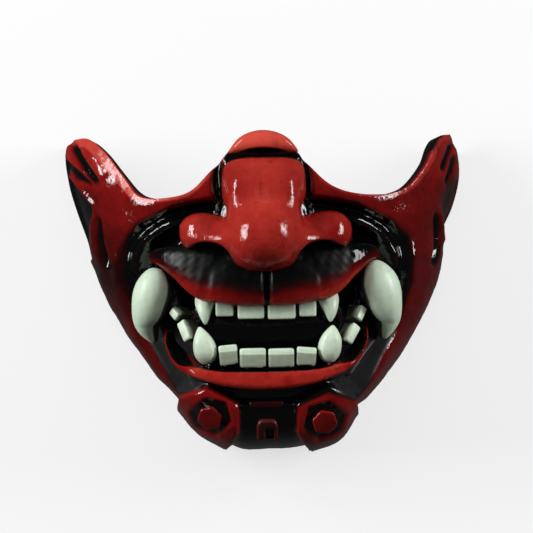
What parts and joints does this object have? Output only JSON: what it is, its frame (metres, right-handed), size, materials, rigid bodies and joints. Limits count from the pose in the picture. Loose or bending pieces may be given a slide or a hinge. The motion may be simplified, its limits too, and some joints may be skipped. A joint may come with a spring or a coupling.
{
  "type": "oni half mask",
  "caption": "Hollow demon half mask for the lower face, with a broad nose, raised lips, curved tusks, rows of teeth and winged cheeks, in glossy red and black paint.",
  "frame": {"origin": "middle of the plane of the rear rim, on which the mask lies", "axes": "+X to the right as one looks at the mask, +Y towards the brow, +Z out of the face"},
  "size_m": [0.1966, 0.1552, 0.0941],
  "materials": {
    "shell_paint": "varnished red paint with a black wash in the folds, over cast resin",
    "red_paint": "varnished red paint over cast resin",
    "lip_paint": "varnished red paint that fades into black",
    "tooth_paint": "satin bone-white paint"
  },
  "bodies": {
    "root": {"mask_shell": "shell_paint", "nose": "red_paint", "bridge_cap": "red_paint", "upper_lip": "lip_paint", "lower_lip": "lip_paint", "chin_boss_left": "red_paint", "chin_boss_right": "red_paint", "chin_bar": "red_paint", "chin_arch": "red_paint", "tusk_left": "tooth_paint", "tusk_right": "tooth_paint", "upper_canine_left": "tooth_paint", "upper_canine_right": "tooth_paint", "lower_canine_left": "tooth_paint", "lower_canine_right": "tooth_paint", "upper_incisor_1": "tooth_paint", "upper_incisor_2": "tooth_paint", "upper_incisor_3": "tooth_paint", "upper_incisor_4": "tooth_paint", "lower_incisor_1": "tooth_paint", "lower_incisor_2": "tooth_paint", "lower_incisor_3": "tooth_paint", "lower_incisor_4": "tooth_paint", "lower_premolar_left_1": "tooth_paint", "lower_premolar_left_2": "tooth_paint", "lower_premolar_right_1": "tooth_paint", "lower_premolar_right_2": "tooth_paint"}
  },
  "joints": []
}
